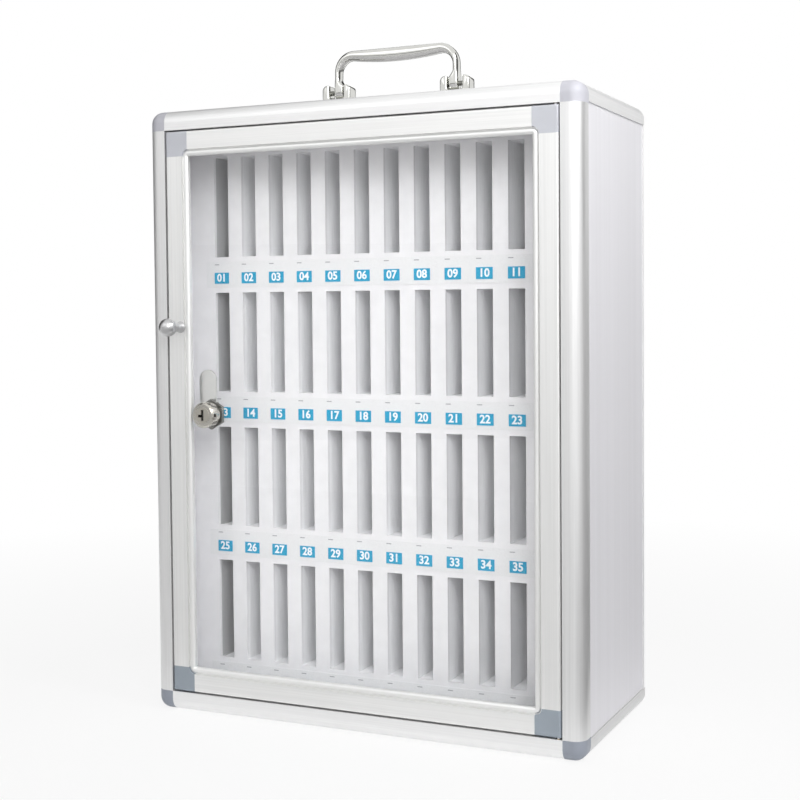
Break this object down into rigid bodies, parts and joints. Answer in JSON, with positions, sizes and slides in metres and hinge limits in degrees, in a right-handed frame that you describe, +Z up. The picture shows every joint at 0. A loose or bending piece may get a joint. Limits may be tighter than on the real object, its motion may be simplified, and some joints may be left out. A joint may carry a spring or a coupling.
{
  "type": "cell phone locker box",
  "caption": "Aluminium phone locker cabinet with a clear hinged locking door, a rack of numbered upright slots and a folding carry handle.",
  "frame": {"origin": "centre of the base, on the flat underside of the bottom panel", "axes": "+X to the right seen from the door, the door faces -Y, +Z up the height of the cabinet"},
  "size_m": [0.375, 0.1954, 0.552],
  "materials": {
    "frame_aluminium": "satin",
    "panel_aluminium": "satin",
    "door_aluminium": "satin",
    "cap_plastic": "satin",
    "door_corner_plastic": "satin",
    "clear_pane": "gloss",
    "rack_plastic": "matte",
    "divider_foam": "matte",
    "label_film": "satin",
    "number_plate": "satin",
    "handle_chrome": "polished",
    "knob_metal": "satin",
    "lock_metal": "polished",
    "plug_metal": "satin",
    "cam_steel": "satin",
    "screw_steel": "satin",
    "bush_brass": "satin"
  },
  "bodies": {
    "case": {"front_rail_top": "frame_aluminium", "front_rail_bottom": "frame_aluminium", "front_rail_left": "frame_aluminium", "front_rail_right": "frame_aluminium", "side_rail_top_left": "frame_aluminium", "side_rail_top_right": "frame_aluminium", "side_rail_bottom_left": "frame_aluminium", "side_rail_bottom_right": "frame_aluminium", "rear_rail_top": "frame_aluminium", "rear_rail_bottom": "frame_aluminium", "rear_edge_left": "frame_aluminium", "rear_edge_right": "frame_aluminium", "corner_cap_top_left": "cap_plastic", "corner_cap_top_right": "cap_plastic", "corner_cap_bottom_left": "cap_plastic", "corner_cap_bottom_right": "cap_plastic", "panel_left": "panel_aluminium", "panel_right": "panel_aluminium", "panel_top": "panel_aluminium", "panel_bottom": "panel_aluminium", "panel_back": "panel_aluminium", "door_stops": "frame_aluminium", "hinge_bushes": "bush_brass", "rack_side_left": "rack_plastic", "rack_side_right": "rack_plastic", "rack_back": "rack_plastic", "rack_shelves": "rack_plastic", "rack_bands": "rack_plastic", "slot_strips": "rack_plastic", "slot_dividers_1": "divider_foam", "slot_dividers_2": "divider_foam", "slot_dividers_3": "divider_foam", "slot_dividers_4": "divider_foam", "label_strips": "label_film", "number_plates": "number_plate", "handle_bracket_left": "handle_chrome", "handle_bracket_right": "handle_chrome", "handle_pins": "handle_chrome", "handle_screws": "screw_steel"},
    "door": {"door_rail_top": "door_aluminium", "door_rail_bottom": "door_aluminium", "door_rail_left": "door_aluminium", "door_rail_right": "door_aluminium", "door_corner_top_left": "door_corner_plastic", "door_corner_top_right": "door_corner_plastic", "door_corner_bottom_left": "door_corner_plastic", "door_corner_bottom_right": "door_corner_plastic", "door_pane": "clear_pane", "door_knob": "knob_metal", "knob_screw": "screw_steel", "hinge_pins": "screw_steel", "lock_housing": "lock_metal", "lock_nut": "lock_metal"},
    "lock": {"lock_plug": "plug_metal", "lock_cam": "cam_steel", "cam_screw": "screw_steel"},
    "handle": {"handle_bow": "handle_chrome"}
  },
  "joints": [
    {"name": "door_hinge", "type": "hinge", "parent": "case", "child": "door", "pos_m": [0.167, -0.0818, 0.25], "axis": [0, 0, 1], "range_deg": [0, 95]},
    {"name": "lock_turn", "type": "hinge", "parent": "door", "child": "lock", "pos_m": [-0.134, -0.091, 0.2494], "axis": [0, -1, 0], "range_deg": [0, 90]},
    {"name": "handle_fold", "type": "hinge", "parent": "case", "child": "handle", "pos_m": [0, 0.004, 0.518], "axis": [1, 0, 0], "range_deg": [-90, 90]}
  ]
}
